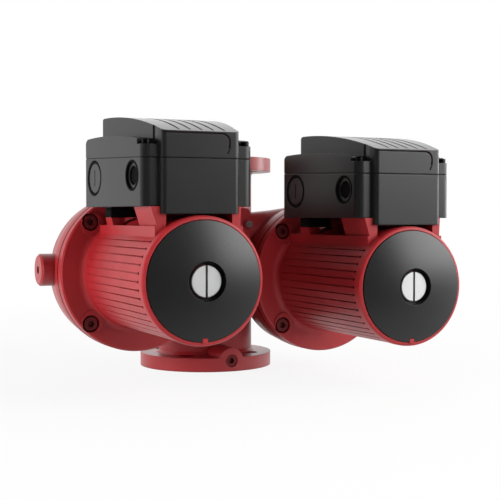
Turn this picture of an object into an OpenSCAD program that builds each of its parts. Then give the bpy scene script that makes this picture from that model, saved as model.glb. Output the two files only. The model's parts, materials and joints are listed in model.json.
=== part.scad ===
// Twin circulator pump: one flanged in-line housing that carries two canned-motor pump heads
// side by side, with a changeover flap in the shared discharge port.
// Millimetres. Origin: centre of the lower flange face. +Z runs up the port axis to the upper
// flange, the motors point to -Y, and the left head is at -X.

/* [Ports] */
// Distance between the two flange faces
port_to_port = 220; // [210:1:250]
// Diameter of both pipe flanges
flange_d = 140; // [136:1:160]
// Thickness of both pipe flanges
flange_t = 14; // [12:0.5:20]
// Pitch circle diameter of the flange bolts
bolt_pcd = 100; // [98:1:112]
// Diameter of each bolt hole in the lower flange
bolt_hole_d = 18; // [11:0.5:19]
// How much wider the bolt holes in the upper flange are
bolt_hole_extra = 0.5; // [0.5:0.5:1]
// Bore of both ports
port_d = 32; // [25:1:36]
// Width of the central column, side to side
column_w = 102; // [96:1:110]
// Depth of the central column, front to back
column_d = 68; // [62:1:74]

/* [Heads] */
// Distance between the two motor axes
head_spacing = 205; // [200:1:225]
// Height of the left motor axis above the lower flange face
axis_height = 104.5; // [100:0.5:112]
// How much lower the right motor axis sits
head_drop = 10; // [4:0.5:14]
// Distance from the joint face of a head back to the port axis
joint_to_port = 54.2; // [52:0.1:58]
// Radius of the pump housing at the joint face
rim_r = 77; // [75:0.5:80]
// Depth of the pump housing behind the joint face
pot_depth = 48.5; // [44:0.5:52]
// Rounding at the back of the pump housing
pot_round = 24; // [16:0.5:28]
// Radius of the boss on the outer side of each head
side_boss_r = 15.5; // [12:0.5:18]
// How far that boss stands proud of the rim
side_boss_reach = 12.5; // [6:0.5:16]

/* [Motor casing] */
// Length of a motor casing from the nameplate plane to the joint face
motor_len = 189.5; // [180:0.5:210]
// Radius of the smooth ring at the motor's end
ring_r = 55; // [54:0.5:58]
// Length of that ring
ring_len = 10; // [8:0.5:18]
// Radius of the ribbed casing
body_r = 54.5; // [53.5:0.25:56]
// Bore of the casing, which holds the stator
casing_bore_r = 48; // [46:0.5:49]
// Cooling grooves that a full turn would hold
groove_count = 48; // [36:4:60]
// Width of a cooling groove
groove_w = 1.1; // [0.8:0.1:2.4]
// Depth of a cooling groove at the ring
groove_depth = 2.6; // [1:0.1:3.5]
// Radius of the motor flange
motor_flange_r = 77.5; // [76:0.5:82]
// Thickness of the motor flange
motor_flange_t = 23; // [16:0.5:28]
// Pitch circle radius of the four motor flange screws
screw_pcr = 68.8; // [68:0.1:70]
// Radius of a motor flange screw head
screw_head_r = 6.6; // [5:0.1:7]
// Radius of a motor flange screw shank
screw_shank_r = 4; // [3:0.1:4.5]
// Half width of the flat ledge on top of the casing
ledge_half_w = 40; // [38:0.5:42]
// Height of the ledge above the motor axis
ledge_h = 46; // [42:0.5:48]

/* [Nameplate and vent] */
// Radius of the domed nameplate disc
disc_r = 51; // [50:0.25:52]
// How far the disc bulges forward of its edge
disc_bulge = 6; // [3:0.5:8]
// Wall of the disc
disc_wall = 1.5; // [1:0.1:2.5]
// Radius of the dark well round the vent screw
well_r = 16.8; // [15.5:0.1:18]
// Radius of the vent screw head
vent_head_r = 13.6; // [11:0.1:14.5]
// Radius of the vent screw thread
vent_thread_r = 8; // [6:0.1:9]
// Width of the slot in the vent screw
vent_slot_w = 2; // [1.2:0.1:3]

/* [Rotor] */
// Radius of the shaft
shaft_r = 5.5; // [4.5:0.1:6.5]
// Running clearance of the shaft in its bearings
bearing_clearance = 0.03; // [0.01:0.01:0.06]
// Outer radius of the rotor can
can_r = 24; // [23:0.25:26]
// Wall of the rotor can
can_wall = 0.7; // [0.5:0.1:1]
// Radius of the rotor core
rotor_r = 22.5; // [20:0.1:22.7]
// Length of the rotor core and of the stator stack
core_len = 80; // [60:1:90]
// Radius of the impeller
impeller_r = 42; // [36:0.5:44]
// Radius of the impeller's suction eye
eye_r = 17; // [14:0.25:18]
// Vanes on each impeller
vane_count = 7; // [5:1:9]
// Thickness of a vane
vane_t = 2; // [1.4:0.1:3]

/* [Terminal box] */
// Distance from the nameplate plane back to the front face of the box
box_front = 6.5; // [5:0.5:9]
// Distance from the nameplate plane back to the rear of the side wings
box_back = 138; // [130:0.5:142]
// Half width of the main front face
box_half_w = 35.25; // [34:0.25:38]
// How much the main sides spread over their length
box_spread = 13.5; // [8:0.5:15]
// Half width of the side wings at their front
wing_half_w = 50.5; // [48:0.25:52]
// How much the wings spread over their length
wing_spread = 10.5; // [6:0.5:12]
// Height of the box floor above the motor axis
box_floor = 62.5; // [60:0.5:65]
// Height of the front apron's lower edge above the motor axis
apron_low = 56.2; // [55.7:0.1:58]
// Height of the seam between base and lid at the front
seam_h = 102.6; // [98:0.2:106]
// How much the seam climbs from the front to the back
seam_rise = 4.2; // [0:0.2:6]
// Height of the lid's crown
lid_h = 143; // [138:0.5:150]
// Height of the wings' crown
wing_h = 125; // [121:0.5:128]
// Wall of the base and the lid
box_wall = 2.5; // [1.8:0.1:3.5]
// Grooves across the lid's crown
lid_groove_count = 5; // [3:1:6]
// Pitch of those grooves
lid_groove_pitch = 10.35; // [8:0.05:11]
// Radius of the large cable entry
entry_r = 16.2; // [13:0.1:18]
// Radius of the small cable entry's recess
small_entry_r = 13; // [11:0.1:15]
// Radius of the small cable entry's bore
small_bore_r = 8.2; // [6:0.1:9]

/* [Changeover flap] */
// Length of the flap from its pin
flap_len = 36; // [30:0.5:37]
// Width of the flap along its pin
flap_w = 28; // [24:0.5:30]
// Thickness of the flap
flap_t = 3; // [2:0.1:4]
// Angle of the flap from upright when it rests on a seat
flap_angle = 38; // [32:0.5:40]
// Radius of the flap pin
pin_r = 2; // [1.5:0.1:3]

/* [Hidden] */
$fn = 72;

left = -1;
right = 1;
eps = 0.01;
fit = 0.3;        // gap between parts that slide past or drop into each other
port_y = motor_len + joint_to_port;

// Colours
enamel = [0.55, 0.12, 0.14];
enamel_dark = [0.42, 0.09, 0.11];
box_grey = [0.24, 0.24, 0.24];
black = [0.08, 0.08, 0.08];
steel = [0.72, 0.73, 0.74];
dark_steel = [0.35, 0.33, 0.32];
copper = [0.72, 0.42, 0.22];
carbon = [0.18, 0.18, 0.2];
cream = [0.82, 0.8, 0.72];

// Pump housing, along a head's own axis from the nameplate plane
volute_gap = 2.5;
volute_front = motor_len + volute_gap;
volute_depth = 20;
volute_back = volute_front + volute_depth;
volute_mid = volute_front + volute_depth / 2;
register_r = 60;
volute_r0 = impeller_r + 3;
volute_r1 = volute_r0 + 14;
duct_centre = volute_r0 + 7.5;
duct_r = 8.5;
duct_wall = 3.7;
duct_meet = 20;      // from the flap's pin to where a duct ends
suction_y = volute_back + 16;
branch_r = port_d / 2 - 3;
suction_wall = 6;
ring_seat_len = 3.2;
eye_chamber_back = suction_y + branch_r + 1.5;
pot_back = motor_len + pot_depth;
pot_taper = 2.3;

// Discharge side of the column
flap_drop = 82;
flap_pivot_z = port_to_port - flap_drop;
seat_gap = 0.3;
flap_barrel_r = pin_r + 3;
chamber_len = flap_len + 4;
chamber_half_y = flap_w / 2 + 1;
chamber_offset = flap_t / 2 + seat_gap;
valve_boss_half_w = 28.5;
valve_boss_down = 20;
valve_boss_up = 29;
valve_boss_low = flap_pivot_z - valve_boss_down;
valve_boss_high = flap_pivot_z + valve_boss_up;
valve_boss_round = 5;
valve_boss_front = joint_to_port - 1.2;
vent_plug_inset = 3.5;
vent_plug_rise = 32.5;
vent_plug_x = valve_boss_half_w - vent_plug_inset;
vent_plug_z = valve_boss_low + vent_plug_rise;
vent_boss_r = 4.5;
vent_boss_len = 2;
vent_plug_r = 2.4;
vent_plug_depth = 10;
vent_hex_r = 3.6;
vent_hex_t = 4.5;
gauge_boss_r = 13.3;
gauge_plug_r = 6.5;
gauge_depth = 9;
gauge_z = 10.8;
side_plug_r = 4;
joint_chamfer = 0.8;
side_boss_y = motor_len + side_boss_r + 1.2;
side_boss_lift = 2;

// Motor casing
flange_front = motor_len - motor_flange_t;
end_wall_front = 3.5;
end_wall = 7;
plate_r = 62;
seal_r = 64.6;
plate_seat = 4;
groove_start = ring_len + 2;
groove_end = flange_front - 8;
casing_fillet = 6;
pocket_r = 0.95;     // small round pocket at the front end of a groove
screw_recess = 7;
screw_gap = 1.7;      // room round a flange screw's head
screw_pad = 4.5;      // how much wider the pad round a flange screw is
screw_reach = 14;
ledge_front = 11.5;
post_len = 43;
post_foot = 37.5;
post_head = 43.5;
post_inner = 30;
post_inset = 5;      // the right post reaches out less than the left one
rear_seat_front = box_back - 16;
rear_seat_len = 18;
rear_seat_h = 7;
rear_seat_x0 = 29;
rear_seat_x1 = 42;

// Rotor and stator along the axis
core_front = 58;
core_back = core_front + core_len;
can_front = end_wall_front + end_wall;
can_cap = 5;
can_back = motor_len - 2.5 - can_wall;
bearing_front = can_front + can_cap + 4;
bearing_len = 10;
rear_bearing_back = motor_len - 1.5;
rear_bearing_r = 13;
shaft_end = volute_front + 15;
impeller_back_plate = volute_front + 3;
plate_gap = 9;
shroud_t = 2;
neck_wall = 2;
neck_gap = 0.4;
neck_ring_wall = 3.5;
eye_seat_r = eye_r + neck_wall + neck_gap + neck_ring_wall;
winding_len = 26;
slot_count = 24;

// Nameplate and vent
vent_face = -(disc_bulge - 2.5);
vent_seal_t = 1.5;
vent_head_back = end_wall_front - vent_seal_t;
vent_thread_len = 13;
tab_w = 4.5;
tab_h = 3.5;

// Terminal box
lid_arc_r = 360;
lid_arc_y = 118;
wing_arc_r = 600;
wing_arc_y = 106;
main_back = box_back - 7;
wing_front = box_front + 6.5;
corner_r = 7;
front_corner_r = 4;
lid_round = 12;       // rounding of the main lid's rear top edge
wing_round_y = 11;    // rounding of the wings' rear top edge, along Y and Z
wing_round_z = 5.5;
reveal_h = 0.6;       // fine groove along the seam, cut in the lid
reveal_depth = 0.5;
lip_h = 4;
lip_t = 1.5;
notch_depth = 11;
notch_low = seam_h + 11.6;
lid_screw_x = wing_half_w - 4.5;
lid_screw_y = wing_front + 5.5;
lid_screw_head_r = 3.6;
lid_screw_r = 1.9;
box_screw_head_r = 3.4;
box_screw_r = 1.8;
box_screw_x = post_inner + 4;
box_screw_front_y = ledge_front + 16;
box_screw_rear_y = rear_seat_front + 8;
floor_top = box_floor + box_wall;
entry_y = box_back - 20.5;
entry_z = seam_h - 14;
small_entry_y = box_front + 28.5;
plug_gap = 2.4;       // width of the rubber ring round the blanking plug
plug_recess = 2;
entry_boss_len = 4.5;
entry_depth = box_wall + entry_boss_len;
small_recess = 2.2;
hook_line_z = seam_h + 21.2;
hook_x = 25.8;
hook_r = 7;
hook_tail = 5;
wing_tilt = atan(wing_spread / (box_back - wing_front));

// Inside the terminal box
block_ways = 5;
block_pitch = 9;
block_w = 46;
block_d = 18;
block_h = 15;
block_x = -26;
block_y = box_front + 12;
cap_r = 15;
cap_len = 66;
cap_x = 24;
cap_y = box_front + 44;
module_w = 40;
module_d = 44;
module_h = 20;
knob_x = -16;
knob_y = box_front + 66;
knob_r = 12;
knob_shaft_r = 3;
knob_grip = 4;
knob_seat = floor_top + module_h;

function head_z(side) = side < 0 ? axis_height : axis_height - head_drop;
function head_x(side) = side * head_spacing / 2;
function arc(cx, cy, r, a0, a1, n = 5) =
    [for (i = [0:n]) let (a = a0 + (a1 - a0) * i / n) [cx + r * cos(a), cy + r * sin(a)]];

// Moves a part into the frame of one head: its axis is Y and the nameplate plane is y = 0
module at_head(side)
    translate([head_x(side), -port_y, head_z(side)])
        children();

// Turns a section, given as points [radius, y], about the Y axis
module turned(section)
    rotate([-90, 0, 0])
        rotate_extrude()
            polygon(section);

// Extrudes an outline seen from the front, from y0 back to y1
module from_front(y0, y1)
    translate([0, y1, 0])
        rotate([90, 0, 0])
            linear_extrude(height = y1 - y0)
                children();

module rod_y(r, y0, y1, x = 0, z = 0)
    translate([x, y0, z])
        rotate([-90, 0, 0])
            cylinder(r = r, h = y1 - y0);

module rod_x(r, x0, x1, y = 0, z = 0)
    translate([x0, y, z])
        rotate([0, 90, 0])
            cylinder(r = r, h = x1 - x0);

module rod_z(r, z0, z1, x = 0, y = 0)
    translate([x, y, z0])
        cylinder(r = r, h = z1 - z0);

module rod_between(a, b, r) {
    v = b - a;
    translate(a)
        rotate([0, acos(v[2] / norm(v)), atan2(v[1], v[0])])
            cylinder(r = r, h = norm(v));
}

// Pump housing

// Outline of the central column, as seen from above
module column_outline(grow = 0) {
    r = column_d / 2;
    for (s = [left, right])
        translate([s * (column_w / 2 - r), 0])
            circle(r = r + grow);
    square([column_w - column_d, column_d + 2 * grow], center = true);
}

// Flared foot that blends the column into a flange
module column_foot(h) {
    r = column_d / 2;
    half = column_w / 2 - r;
    for (s = [left, right])
        translate([s * half, 0, 0])
            cylinder(r1 = r + h, r2 = r, h = h);
    translate([-half, 0, 0])
        rotate([90, 0, 90])
            linear_extrude(height = 2 * half)
                polygon([[-r - h, 0], [r + h, 0], [r, h], [-r, h]]);
}

module flange_disc(hole_d)
    difference() {
        cylinder(d = flange_d, h = flange_t);
        for (a = [45:90:315])
            rotate(a)
                translate([bolt_pcd / 2, 0, -1])
                    cylinder(d = hole_d, h = flange_t + 2);
    }

// Boss on the front of a flange for a gauge plug, flush with the flange's edge
module gauge_boss()
    intersection() {
        rod_y(gauge_boss_r, -flange_d, 0, 0, gauge_z);
        cylinder(d = flange_d, h = gauge_z + gauge_boss_r);
    }

// Round pot behind a head
function pot_section() = concat(
    [[0, motor_len], [rim_r - joint_chamfer, motor_len], [rim_r, motor_len + joint_chamfer],
     [rim_r, motor_len + 5]],
    arc(rim_r - pot_taper - pot_round, pot_back - pot_round, pot_round, 0, 90, 8),
    [[0, pot_back]]);

// Dome on the back of a pot, over the chamber in front of the impeller's eye
function eye_dome_section() =
    let (r = eye_r + 1 + suction_wall, back = eye_chamber_back + suction_wall) concat(
        [[0, pot_back - 4], [r, pot_back - 4]],
        arc(r - 8, back - 8, 8, 0, 90),
        [[0, back]]);

module side_boss(side)
    rotate([0, 90 * side, 0])
        rotate_extrude()
            polygon(concat(
                [[0, rim_r / 2], [side_boss_r, rim_r / 2]],
                arc(side_boss_r - 7, rim_r + side_boss_reach - 7, 7, 0, 90),
                [[0, rim_r + side_boss_reach]]));

// Ends of the straight discharge duct between a volute and the flap chamber
function duct_start(side) = side < 0
    ? [head_x(side), volute_mid - port_y, head_z(side) + duct_centre]
    : [head_x(side) - duct_centre, volute_mid - port_y, head_z(side)];
function duct_end(side) = [
    side * duct_meet * sin(flap_angle), -3, flap_pivot_z + duct_meet * cos(flap_angle)];
function suction_end(side) = [head_x(side), suction_y - port_y, head_z(side)];
suction_meet_z = axis_height - head_drop - 9;
function suction_meet(side) = [side * 4, -1, suction_meet_z];

// Spiral that widens clockwise, seen from the front, from the angle where the duct leaves
module volute_outline(leave)
    polygon([for (i = [0:36])
        let (a = leave - 10 * i, r = volute_r0 + (volute_r1 - volute_r0) * i / 36)
            [r * cos(a), r * sin(a)]]);

module wet_space(side) {
    at_head(side) {
        rod_y(register_r, motor_len - 1, volute_front);
        from_front(volute_front - eps, volute_back)
            volute_outline(side < 0 ? 90 : 180);
        rod_y(eye_seat_r, volute_back - eps, volute_back + ring_seat_len);
        rod_y(eye_r + 1, volute_back, eye_chamber_back);
        for (a = [45:90:315])
            rotate([0, a, 0])
                rod_y(screw_shank_r, motor_len - 1, motor_len + screw_reach, screw_pcr);
    }
    rod_between(duct_start(side), duct_end(side), duct_r);
    rod_between(suction_end(side), suction_meet(side), branch_r);
}

// Fan-shaped chamber in which the flap swings
module flap_chamber() {
    reach = chamber_len;
    off = chamber_offset;
    corner = [off * cos(flap_angle), -off * sin(flap_angle)];
    tip = corner + reach * [sin(flap_angle), cos(flap_angle)];
    translate([0, 0, flap_pivot_z])
        from_front(-chamber_half_y, chamber_half_y) {
            polygon([
                [-corner[0], corner[1]], [corner[0], corner[1]], tip,
                [tip[0], tip[1] + 6], [-tip[0], tip[1] + 6], [-tip[0], tip[1]]]);
            circle(r = flap_barrel_r + seat_gap);
        }
}

module valve_boss() {
    r = valve_boss_round;
    w = 2 * valve_boss_half_w;
    translate([0, -valve_boss_front, 0])
        from_front(0, valve_boss_front) {
            translate([-w / 2, valve_boss_low])
                square([w, valve_boss_high - valve_boss_low - r]);
            translate([r - w / 2, valve_boss_high - r - eps])
                square([w - 2 * r, r + eps]);
            for (s = [left, right])
                translate([s * (w / 2 - r), valve_boss_high - r])
                    circle(r = r);
        }
}

module pump_housing()
    color(enamel)
        difference() {
            union() {
                flange_disc(bolt_hole_d);
                translate([0, 0, port_to_port - flange_t])
                    flange_disc(bolt_hole_d + bolt_hole_extra);
                translate([0, 0, flange_t - eps])
                    linear_extrude(height = port_to_port - 2 * flange_t + 2 * eps)
                        column_outline();
                translate([0, 0, flange_t])
                    column_foot(3);
                translate([0, 0, port_to_port - flange_t])
                    mirror([0, 0, 1])
                        column_foot(3);
                gauge_boss();
                translate([0, 0, port_to_port])
                    mirror([0, 0, 1])
                        gauge_boss();
                valve_boss();
                translate([vent_plug_x, 0, vent_plug_z])
                    rod_y(vent_boss_r, -valve_boss_front - vent_boss_len, 0);
                for (side = [left, right]) {
                    at_head(side) {
                        turned(pot_section());
                        turned(eye_dome_section());
                        translate([0, side_boss_y, side_boss_lift])
                            side_boss(side);
                    }
                    rod_between(duct_start(side), duct_end(side), duct_r + duct_wall);
                    rod_between(suction_end(side), suction_meet(side), branch_r + suction_wall);
                }
            }
            for (side = [left, right]) {
                wet_space(side);
                translate([head_x(side), side_boss_y - port_y, head_z(side) + side_boss_lift])
                    rotate([0, 90 * side, 0])
                        translate([0, 0, rim_r - 4])
                            cylinder(r = side_plug_r, h = side_boss_reach + 8);
            }
            flap_chamber();
            rod_z(port_d / 2, -1, suction_meet_z + branch_r + 2);
            rod_z(port_d / 2, flap_pivot_z + chamber_len * cos(flap_angle) + 4, port_to_port + 1);
            rod_y(pin_r, -valve_boss_front - 1, chamber_half_y + 6, 0, flap_pivot_z);
            for (z = [gauge_z, port_to_port - gauge_z])
                rod_y(gauge_plug_r, -flange_d / 2 - 1, -flange_d / 2 + gauge_depth, 0, z);
            rod_y(vent_plug_r, -valve_boss_front - vent_boss_len - 1,
                -valve_boss_front + vent_plug_depth, vent_plug_x, vent_plug_z);
        }

// The flap rests on the left seat and swings to the right one
module flap()
    color(steel)
        translate([0, 0, flap_pivot_z])
            rotate([0, -flap_angle, 0])
                difference() {
                    union() {
                        rod_y(flap_barrel_r, -flap_w / 2, flap_w / 2);
                        translate([-flap_t / 2, -flap_w / 2, 0])
                            cube([flap_t, flap_w, flap_len]);
                    }
                    rod_y(pin_r + bearing_clearance, -flap_w, flap_w);
                }

module flap_pin()
    color(dark_steel)
        rod_y(pin_r, -valve_boss_front + 4, chamber_half_y + 6, 0, flap_pivot_z);

// Sunk hexagon plugs in the two gauge bosses
module gauge_plugs()
    color(enamel_dark)
        for (z = [gauge_z, port_to_port - gauge_z])
            difference() {
                rod_y(gauge_plug_r, -flange_d / 2 + 1.2, -flange_d / 2 + gauge_depth, 0, z);
                translate([0, -flange_d / 2, z])
                    rotate([-90, 0, 0])
                        cylinder(r = gauge_plug_r * 0.5, h = 6, $fn = 6);
            }

module side_plugs()
    color(enamel_dark)
        for (side = [left, right])
            translate([head_x(side), side_boss_y - port_y, head_z(side) + side_boss_lift])
                rotate([0, 90 * side, 0])
                    difference() {
                        translate([0, 0, rim_r - 4])
                            cylinder(r = side_plug_r, h = side_boss_reach + 2.5);
                        translate([0, 0, rim_r + side_boss_reach - 5])
                            cylinder(r = side_plug_r * 0.5, h = 5, $fn = 6);
                    }

// Small hexagon-headed vent plug on the column's front boss
module vent_plug()
    color(steel)
        translate([vent_plug_x, 0, vent_plug_z]) {
            rod_y(vent_plug_r, -valve_boss_front - vent_boss_len - eps,
                -valve_boss_front + vent_plug_depth);
            translate([0, -valve_boss_front - vent_boss_len - vent_hex_t, 0])
                rotate([-90, 0, 0])
                    cylinder(r = vent_hex_r, h = vent_hex_t, $fn = 6);
        }

// Motor casing

function casing_section() = concat(
    [[disc_r + 0.6, end_wall_front], [disc_r + 0.6, 1.6]],
    arc(ring_r - 3, 4, 3, -100, 0, 6),
    [[ring_r, ring_len], [body_r, ring_len + 0.5]],
    arc(body_r + casing_fillet, flange_front - casing_fillet, casing_fillet, 180, 90),
    [[motor_flange_r - 1.5, flange_front], [motor_flange_r, flange_front + 1.5],
     [motor_flange_r, motor_len - joint_chamfer], [motor_flange_r - joint_chamfer, motor_len],
     [seal_r, motor_len], [seal_r, motor_len - plate_seat],
     [casing_bore_r, motor_len - plate_seat], [casing_bore_r, end_wall_front + end_wall],
     [vent_thread_r + 0.4, end_wall_front + end_wall], [vent_thread_r + 0.4, end_wall_front]]);

// Radial bars that cut the cooling grooves, none of them through the ledge
function groove_angles() =
    let (pitch = 360 / groove_count, limit = atan2(ledge_h, ledge_half_w))
        [for (i = [0:groove_count - 1])
            if (i * pitch < limit - pitch || i * pitch > 180 - limit + pitch) i * pitch];

module groove_bars()
    for (a = groove_angles())
        rotate(a)
            translate([casing_bore_r, -groove_w / 2])
                square([20, groove_w]);

// Grooves that start in a small round pocket and fade out towards the flange
module grooves() {
    difference() {
        from_front(groove_start, groove_end)
            groove_bars();
        translate([0, groove_start - 1, 0])
            rotate([-90, 0, 0])
                cylinder(r1 = body_r - groove_depth, r2 = body_r - 0.2,
                    h = groove_end - groove_start + 2);
    }
    for (a = groove_angles())
        rotate([0, -a, 0])
            rod_x(pocket_r, body_r - groove_depth - 0.5, body_r + 3, groove_start + pocket_r / 2);
}

module casing_top() {
    from_front(ledge_front, flange_front + 2)
        translate([-ledge_half_w, 0])
            square([2 * ledge_half_w, ledge_h]);
    for (s = [left, right]) {
        from_front(ledge_front, ledge_front + post_len)
            polygon([
                [s * post_inner, ledge_h - 4], [s * post_foot, ledge_h - 4],
                [s * post_foot, ledge_h - 2],
                [s * (s < 0 ? post_head : post_head - post_inset), box_floor],
                [s * post_inner, box_floor]]);
        from_front(rear_seat_front, rear_seat_front + rear_seat_len)
            polygon([
                [s * rear_seat_x0, ledge_h - 4], [s * (ledge_half_w - 1), ledge_h - 4],
                [s * rear_seat_x1, ledge_h + rear_seat_h],
                [s * rear_seat_x0, ledge_h + rear_seat_h]]);
    }
}

module stator_housing(side)
    color(enamel)
        at_head(side)
            difference() {
                union() {
                    turned(casing_section());
                    casing_top();
                    translate([-tab_w / 2, -0.6, -disc_r - 1])
                        cube([tab_w, end_wall_front + 1, tab_h + 0.6]);
                    for (a = [45:90:315])
                        rotate([0, a, 0])
                            rod_y(screw_head_r + screw_pad, flange_front - 1.5, flange_front + 2,
                                screw_pcr - 3);
                }
                rod_y(casing_bore_r, end_wall_front + end_wall, motor_len - plate_seat);
                grooves();
                for (a = [45:90:315])
                    rotate([0, a, 0]) {
                        rod_y(screw_shank_r + 0.4, flange_front - 5, motor_len + 1, screw_pcr);
                        rod_y(screw_head_r + screw_gap, flange_front - 5,
                            flange_front + screw_recess, screw_pcr);
                    }
                for (s = [left, right]) {
                    rod_z(box_screw_r, box_floor - 14, box_floor + 1,
                        s * box_screw_x, box_screw_front_y);
                    rod_z(box_screw_r, ledge_h - 3, ledge_h + rear_seat_h + 1,
                        s * box_screw_x, box_screw_rear_y);
                }
            }

module flange_screws(side)
    color(enamel_dark)
        at_head(side)
            for (a = [45:90:315])
                rotate([0, a, 0])
                    difference() {
                        union() {
                            rod_y(screw_head_r, flange_front - 0.5,
                                flange_front + screw_recess, screw_pcr);
                            rod_y(screw_shank_r, flange_front + screw_recess - eps,
                                motor_len + screw_reach - 2, screw_pcr);
                        }
                        translate([screw_pcr, flange_front - 1, 0])
                            rotate([-90, 0, 0])
                                cylinder(r = 3.4, h = 4.5, $fn = 6);
                    }

module joint_seal(side)
    color(black)
        at_head(side)
            turned([
                [plate_r + 0.1, motor_len - 3], [seal_r, motor_len - 3],
                [seal_r, motor_len], [plate_r + 0.1, motor_len]]);

// Dished plate that carries the rear bearing and closes the motor
module bearing_plate(side)
    color(steel)
        at_head(side)
            turned([
                [rear_bearing_r, motor_len - 11], [rear_bearing_r + 3, motor_len - 11],
                [rear_bearing_r + 3, motor_len - 2.5], [can_r + 6, motor_len - 2.5],
                [can_r + 8, motor_len - 4], [plate_r, motor_len - plate_seat],
                [plate_r, motor_len], [register_r - 2, motor_len],
                [register_r - 4, motor_len - 2], [can_r + 10, motor_len - 2],
                [can_r + 8, motor_len], [rear_bearing_r, motor_len]]);

module rotor_can(side)
    color(steel)
        at_head(side)
            turned([
                [vent_thread_r, can_front], [13, can_front], [13, can_front + can_cap],
                [can_r, can_front + can_cap], [can_r, can_back], [can_r + 5, can_back],
                [can_r + 5, can_back + can_wall], [can_r - can_wall, can_back + can_wall],
                [can_r - can_wall, can_front + can_cap + can_wall],
                [vent_thread_r, can_front + can_cap + can_wall]]);

module front_bearing(side)
    color(carbon)
        at_head(side)
            turned([
                [shaft_r + bearing_clearance, bearing_front], [12, bearing_front],
                [12, bearing_front + 4], [can_r - can_wall, bearing_front + 4],
                [can_r - can_wall, bearing_front + bearing_len],
                [shaft_r + bearing_clearance, bearing_front + bearing_len]]);

module rear_bearing(side)
    color(carbon)
        at_head(side)
            turned([
                [shaft_r + bearing_clearance, rear_bearing_back - 9.5],
                [rear_bearing_r, rear_bearing_back - 9.5],
                [rear_bearing_r, rear_bearing_back],
                [shaft_r + bearing_clearance, rear_bearing_back]]);

module stator_stack(side)
    color(dark_steel)
        at_head(side)
            from_front(core_front, core_back)
                difference() {
                    circle(r = casing_bore_r);
                    circle(r = can_r);
                    for (i = [0:slot_count - 1])
                        rotate(i * 360 / slot_count)
                            translate([can_r + 2, -1.6])
                                square([12, 3.2]);
                }

module windings(side)
    color(copper)
        at_head(side)
            for (y = [core_front - winding_len, core_back])
                turned([
                    [can_r + 2, y], [can_r + 16, y + 2], [can_r + 19, y + 6],
                    [can_r + 19, y + winding_len - 6], [can_r + 16, y + winding_len - 2],
                    [can_r + 2, y + winding_len]]);

// Shaft with a screwdriver slot in its front end, for freeing a stuck rotor
module shaft(side)
    color(steel)
        at_head(side)
            difference() {
                turned([
                    [0, bearing_front], [shaft_r - 1, bearing_front],
                    [shaft_r, bearing_front + 1], [shaft_r, shaft_end - 1],
                    [shaft_r - 1, shaft_end], [0, shaft_end]]);
                translate([-shaft_r - 1, bearing_front - 1, -0.8])
                    cube([2 * shaft_r + 2, 3, 1.6]);
            }

module rotor_core(side)
    color(dark_steel)
        at_head(side)
            turned([
                [shaft_r, core_front - 3], [rotor_r - 5, core_front - 3],
                [rotor_r - 5, core_front], [rotor_r, core_front],
                [rotor_r, core_back], [rotor_r - 5, core_back],
                [rotor_r - 5, core_back + 3], [shaft_r, core_back + 3]]);

// Centre line of a vane: a spiral from the hub to the rim that leans back against the turn
function vane_angle(t) = 75 * t;
function vane_radius(t) = 12 + (impeller_r - 12.5) * t;
function vane_side(d) = [for (i = [0:8])
    let (t = i / 8, a = vane_angle(t), r = vane_radius(t))
        [r * cos(a) - d * sin(a), r * sin(a) + d * cos(a)]];

module vane_outline() {
    outer = vane_side(vane_t / 2);
    inner = vane_side(-vane_t / 2);
    polygon(concat(outer, [for (i = [8:-1:0]) inner[i]]));
}

// Closed impeller: back plate, curved vanes and a front shroud with the suction eye
module impeller(side)
    color(steel)
        at_head(side) {
            y0 = impeller_back_plate;
            y1 = y0 + shroud_t;
            y2 = y1 + plate_gap;
            y3 = y2 + shroud_t;
            difference() {
                union() {
                    turned([
                        [shaft_r, y0], [impeller_r, y0], [impeller_r, y1],
                        [12, y1], [9, y2 - 2], [8, shaft_end], [shaft_r, shaft_end]]);
                    turned([
                        [eye_r, y2], [impeller_r, y2], [impeller_r, y2 + 1.2],
                        [eye_r + neck_wall + 3, y3], [eye_r + neck_wall, y3 + 1],
                        [eye_r + neck_wall, volute_back + 1.5], [eye_r, volute_back + 1.5]]);
                    from_front(y1 - 0.2, y2 + 0.2)
                        for (i = [0:vane_count - 1])
                            rotate(i * 360 / vane_count)
                                vane_outline();
                }
                rod_y(shaft_r, y0 - 1, shaft_end + 1);
            }
        }

module neck_ring(side)
    color(steel)
        at_head(side)
            turned([
                [eye_r + neck_wall + neck_gap, volute_back - 1],
                [eye_seat_r, volute_back - 1],
                [eye_seat_r, volute_back + ring_seat_len],
                [eye_r + neck_wall + neck_gap, volute_back + ring_seat_len]]);

// Nameplate and vent

function dome(r) = -disc_bulge + disc_bulge * (r * r - well_r * well_r)
    / (disc_r * disc_r - well_r * well_r);

// Domed disc with a collar round the vent screw; its face is left bare
module nameplate_disc(side)
    color(black)
        at_head(side)
            difference() {
                well_floor = vent_head_r + 0.4;
                turned(concat(
                    [for (i = [0:8]) let (r = well_r + (disc_r - well_r) * i / 8) [r, dome(r)]],
                    [[disc_r, end_wall_front], [disc_r - disc_wall, end_wall_front]],
                    [for (i = [8:-1:0])
                        let (r = well_r + disc_wall + (disc_r - well_r - 2 * disc_wall) * i / 8)
                            [r, dome(r) + disc_wall]],
                    [[well_r + disc_wall, end_wall_front], [well_floor, end_wall_front],
                     [well_floor, end_wall_front - 1.2], [well_r, end_wall_front - 1.2]]));
                translate([-tab_w / 2 - fit / 2, -disc_bulge, -disc_r - 1])
                    cube([tab_w + fit, disc_bulge + end_wall_front + 1, tab_h + 1]);
            }

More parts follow.
